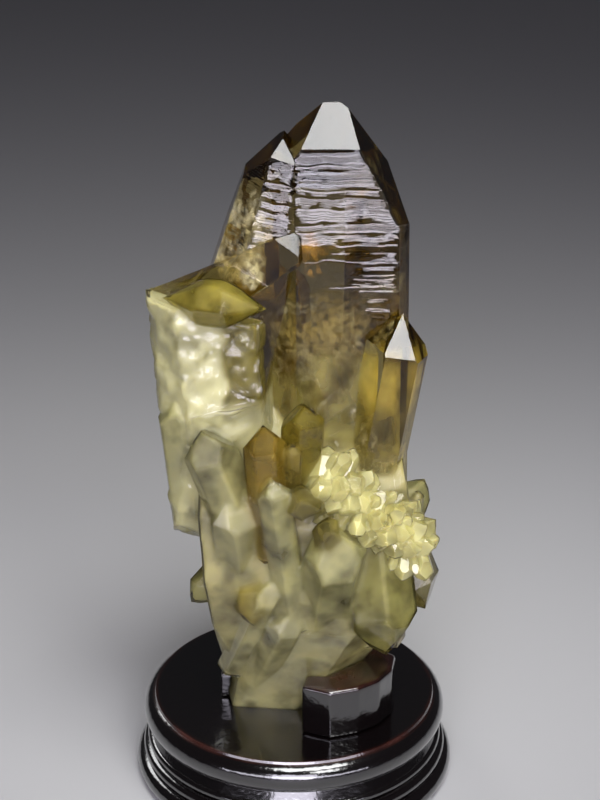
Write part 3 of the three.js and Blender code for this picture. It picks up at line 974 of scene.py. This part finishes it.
# %% [markdown]
# A finish is a small network of shader nodes. It could be wired by hand in the shader editor, but written
# down it can be read and run again. A few helpers keep each finish to a handful of lines.

# %% Shader helpers
def wire(tree, node, **values):
    """Fills inputs of a node. A value that is another node's output is linked, any other value is set."""
    for name, value in values.items():
        socket = node.inputs[name.replace("_", " ")]
        if isinstance(value, bpy.types.NodeSocket):
            tree.links.new(value, socket)
        else:
            socket.default_value = value


def add(tree, kind, **values):
    """A new shader node with some of its inputs filled."""
    node = tree.nodes.new("ShaderNode" + kind)
    wire(tree, node, **values)
    return node


def new_material(name, **values):
    """A material with one Principled shader, some of whose inputs are set. Gives its node tree and
    shader."""
    material = bpy.data.materials.new(name)
    material.use_nodes = True
    shader = material.node_tree.nodes["Principled BSDF"]
    wire(material.node_tree, shader, **values)
    return material.node_tree, shader


def dress(piece, tree):
    """Gives the piece the one material that the node tree belongs to."""
    material = next(m for m in bpy.data.materials if m.node_tree == tree)
    piece.data.materials.clear()
    piece.data.materials.append(material)


def spread(tree, value, low, high):
    """A value from 0 to 1 spread over a range."""
    return add(tree, "MapRange", Value=value, To_Min=low, To_Max=high).outputs["Result"]


def attribute(tree, name, output="Fac"):
    """The values stored on the piece under a name."""
    node = tree.nodes.new("ShaderNodeAttribute")
    node.attribute_name = name
    return node.outputs[output]


def product(tree, first, second):
    """Two values multiplied."""
    node = add(tree, "Math")
    node.operation = "MULTIPLY"
    tree.links.new(first, node.inputs[0])
    tree.links.new(second, node.inputs[1])
    return node.outputs["Value"]


# %% [markdown]
# Neither stone nor lacquer is even. Both finishes need a broad noise and a fine one, so these two are made
# once, as a node group that every finish can use.

# %% Mottle
def mottle_group():
    """Two noises that several finishes share: Cloud is broad and soft, Fine is a close grain."""
    group = bpy.data.node_groups.new("stone_mottle", "ShaderNodeTree")
    for output in ("Cloud", "Fine"):
        group.interface.new_socket(output, in_out="OUTPUT", socket_type="NodeSocketFloat")
    place = add(group, "TexCoord").outputs["Object"]
    broad = add(group, "TexNoise", Vector=place, Scale=55.0, Detail=4.0, Roughness=0.6)
    fine = add(group, "TexNoise", Vector=place, Scale=420.0, Detail=3.0)
    contrast = add(group, "MapRange", Value=broad.outputs["Fac"], From_Min=0.35, From_Max=0.65)
    out = group.nodes.new("NodeGroupOutput")
    wire(group, out, Cloud=contrast.outputs["Result"], Fine=fine.outputs["Fac"])
    return group


MOTTLE = mottle_group()


def mottle(tree):
    """The group's two noises, for use in one finish."""
    node = tree.nodes.new("ShaderNodeGroup")
    node.node_tree = MOTTLE
    return node.outputs


print("mottle", [socket.name for socket in MOTTLE.interface.items_tree])

# %% [markdown]
# Clear quartz bends light by an index of 1.544, and smoky citrine soaks up blue on the way through. A glass
# shader alone would keep the lamps out of the stone, because Cycles does not bend a lamp's ray, so for
# those rays the skin is simply transparent. The tint and the frost come from the values on the skin.

# %% Clear quartz
QUARTZ_IOR = 1.544
SMOKE_COLOUR, SMOKE_DENSITY = (0.60, 0.50, 0.08, 1), 64.0
FROST_ROUGHNESS = 0.4
tree, shader = new_material("clear_citrine", IOR=QUARTZ_IOR, Transmission_Weight=1.0)
noise = mottle(tree)
frosted = add(tree, "Math")
frosted.operation = "MULTIPLY_ADD"
tree.links.new(attribute(tree, "rough"), frosted.inputs[0])
frosted.inputs[1].default_value = FROST_ROUGHNESS
tree.links.new(spread(tree, noise["Cloud"], 0.01, 0.09), frosted.inputs[2])
pitted = product(tree, spread(tree, attribute(tree, "rough"), 0.05, 0.35), noise["Fine"])
bump = add(tree, "Bump", Strength=0.5, Distance=0.001, Height=pitted)
wire(tree, shader, Base_Color=attribute(tree, "tint", "Color"))
wire(tree, shader, Roughness=frosted.outputs["Value"], Normal=bump.outputs["Normal"])
mix = add(tree, "MixShader", Fac=add(tree, "LightPath").outputs["Is Shadow Ray"])
tree.links.new(shader.outputs["BSDF"], mix.inputs[1])
tree.links.new(add(tree, "BsdfTransparent").outputs["BSDF"], mix.inputs[2])
soak = add(tree, "VolumeAbsorption", Color=SMOKE_COLOUR, Density=SMOKE_DENSITY)
wire(tree, tree.nodes["Material Output"], Surface=mix.outputs["Shader"], Volume=soak.outputs["Volume"])
dress(skin, tree)
print("dressed", skin.name)

# %% [markdown]
# Milk glows a little from within, as light scatters between its bubbles, so it has subsurface scattering.
# The veils are too thin for that and get a plain dull finish. Both are as dense as the mist on their
# points.

# %% Milk and veils
tree, shader = new_material("milk", Roughness=0.5, Subsurface_Weight=1.0, Subsurface_Scale=0.004)
wire(tree, shader, Subsurface_Radius=(1.0, 0.9, 0.6))
wire(tree, shader, Base_Color=attribute(tree, "tint", "Color"), Alpha=attribute(tree, "mist"))
for piece in (milk, druse_milk):
    dress(piece, tree)
VEIL_COLOURS = {
    cloud_veils: (0.42, 0.39, 0.26),
    white_wisps: (0.75, 0.74, 0.66),
    rust_stains: (0.45, 0.24, 0.03),
}
for piece, colour in VEIL_COLOURS.items():
    tree, shader = new_material(piece.name, Base_Color=(*colour, 1), Roughness=0.8)
    noise = mottle(tree)
    ragged = add(tree, "MapRange", Value=noise["Fine"], From_Min=0.42, From_Max=0.62).outputs["Result"]
    thin = product(tree, attribute(tree, "mist"), product(tree, noise["Cloud"], ragged))
    wire(tree, shader, Alpha=thin)
    dress(piece, tree)
scene.cycles.transparent_max_bounces = 48
print("dressed", [piece.name for piece in (milk, druse_milk, *VEIL_COLOURS)])

# %% [markdown]
# The stand's lacquer is nearly black and glossy, and rubbed red in the groove inside the rim. The lugs'
# tops are painted red as painted light: the more a point of a lug looks up, the redder it is painted, as if
# lit from above. A painted mask could say where, but both follow the shape, so they are worked out from it:
# how far a point of a lug looks up, and how near a point of the stand is to the groove.

# %% Lacquer
LACQUER_BLACK, LACQUER_RED = (0.0022, 0.0012, 0.0013, 1), (0.05, 0.011, 0.006, 1)
GROOVE_WIDTH = 0.6  # millimetres
GROOVE_FLOOR = 0.028  # only the plate's top is rubbed, not the mouldings below it
tree, shader = new_material("black_lacquer", IOR=1.6, Coat_Weight=1.0, Coat_IOR=1.7, Coat_Roughness=0.1)
noise = mottle(tree)
# Red from wear in the groove, and on the lugs painted light: red painted on their up-facing tops.
red_wear_and_lit_tops = product(tree, attribute(tree, "worn"), noise["Cloud"])
colour = tree.nodes.new("ShaderNodeMix")
colour.data_type = "RGBA"
tree.links.new(red_wear_and_lit_tops, colour.inputs["Factor"])
colour.inputs[6].default_value = LACQUER_BLACK
colour.inputs[7].default_value = LACQUER_RED
wire(tree, shader, Base_Color=colour.outputs[2], Roughness=spread(tree, red_wear_and_lit_tops, 0.15, 0.35))
grain = add(tree, "Bump", Strength=0.1, Distance=0.001, Height=noise["Fine"]).outputs["Normal"]
wire(tree, shader, Normal=grain, Coat_Normal=grain)
for lug in lugs.values():
    # On the lugs 'worn' is painted light: the more a point looks up, the redder it is painted, as if lit from
    # above.
    add_values(lug.data, "worn", np.clip(normals_of(lug.data)[:, 2], 0, 1))
around = points_of(turned_stand.data)
groove = np.hypot(around[:, 0], around[:, 1]) / MM - WELL_RADIUS
on_plate = around[:, 2] > GROOVE_FLOOR
add_values(turned_stand.data, "worn", np.exp(-((groove / GROOVE_WIDTH) ** 2)) * on_plate)
for piece in (turned_stand, *lugs.values()):
    dress(piece, tree)
print("materials", [material.name for material in bpy.data.materials])

# %% [markdown]
# Every piece rides the one body of the frame. What is sealed in the stone replaces the stone's node
# together with its skin, and each wooden piece replaces its own node.

# %% Place the pieces in the frame
stone_pieces = (skin, milk, druse_milk, cloud_veils, white_wisps, rust_stains)
wooden_pieces = {"stand_base": turned_stand, **lugs}
for piece in stone_pieces:
    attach(piece, "root")
    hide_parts("citrine_cluster")
for node, piece in wooden_pieces.items():
    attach(piece, "root")
    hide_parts(node)
print("placed", len(stone_pieces) + len(wooden_pieces), "pieces")

# %% [markdown]
# The stand rests on a plain pale floor. One large square is enough, as its edges lie far out of the
# picture.

# %% Floor
FLOOR_HALF = 4  # metres
mesh = bpy.data.meshes.new("floor")
corners = [(x * FLOOR_HALF, y * FLOOR_HALF, 0) for x, y in ((-1, -1), (1, -1), (1, 1), (-1, 1))]
mesh.from_pydata(corners, [], [(0, 1, 2, 3)])
floor = add_object("floor", mesh)
tree, _ = new_material("pale_floor", Base_Color=(0.5, 0.5, 0.5, 1), Roughness=0.7)
dress(floor, tree)
print("floor", 2 * FLOOR_HALF, "m wide")

# %% [markdown]
# Crystal shows its shape by what its faces mirror. One large soft light would wash the faces out, so a few
# softboxes stand where the bright faces look: two keys for the pyramid faces, a window for the growth
# lines, a low ribbon for the stand's rim and one behind for the edges.

# %% Lights
def softbox(name, at, aim, size, brightness, spread_angle, colour=(1, 1, 1)):
    """A rectangular lamp with a honeycomb that narrows its light to the spread angle. Its brightness is
    that of its front seen head on: power = brightness x pi x area x (1 - h / tan h) for half the
    spread h."""
    half = math.radians(spread_angle / 2)
    lamp = bpy.data.lights.new(name, "AREA")
    lamp.shape = "RECTANGLE"
    lamp.size, lamp.size_y = size
    lamp.energy = brightness * math.pi * size[0] * size[1] * (1 - half / math.tan(half))
    lamp.color = colour
    lamp.spread = 2 * half
    box = bpy.data.objects.new(name, lamp)
    scene.collection.objects.link(box)
    box.location = at
    box.rotation_euler = (Vector(aim) - Vector(at)).to_track_quat("-Z", "Y").to_euler()


softbox("key", (0.09, -0.25, 0.67), (0, 0, 0.2), (0.44, 0.24), 15, 80)
softbox("side_key", (0.24, -0.50, 0.56), (0.02, 0, 0.15), (0.22, 0.2), 13, 60)
softbox("window", (0.0, -1.5, 0.55), (0, 0, 0.15), (0.9, 0.8), 7.5, 120, (0.9, 0.86, 1.0))
softbox("ribbon", (0, -1.2, 0.33), (0, 0, 0.05), (3.0, 0.22), 5.5, 160, (0.9, 0.87, 1.0))
softbox("behind", (-0.45, 0.6, 0.6), (0, 0, 0.12), (0.3, 0.3), 5, 50)
scene.world = bpy.data.worlds.new("studio")
scene.world.use_nodes = True
scene.world.node_tree.nodes["Background"].inputs["Color"].default_value = (0.03, 0.03, 0.033, 1)
scene.view_settings.view_transform = "Standard"
print("lights", {lamp.name: round(lamp.energy, 2) for lamp in bpy.data.lights})

# %% [markdown]
# The camera stands where the photograph was taken from: in front of the stone and above it, with a long
# lens. It was fitted to the ellipse of the stand's rim.

# %% Camera
PHOTO_FOCAL, PHOTO_HEIGHT = 1841, 800  # pixels
SENSOR_WIDTH = 36  # millimetres
LOOKING_DOWN = 22.75  # degrees
camera = bpy.data.objects.new("camera", bpy.data.cameras.new("camera"))
scene.collection.objects.link(camera)
scene.camera = camera
camera.location = (0.0021, -0.5527, 0.368)
camera.rotation_euler = (math.radians(90 - LOOKING_DOWN), 0, 0)
camera.data.sensor_width = SENSOR_WIDTH
camera.data.lens = PHOTO_FOCAL * SENSOR_WIDTH / PHOTO_HEIGHT
print("lens", round(camera.data.lens, 1), "mm")
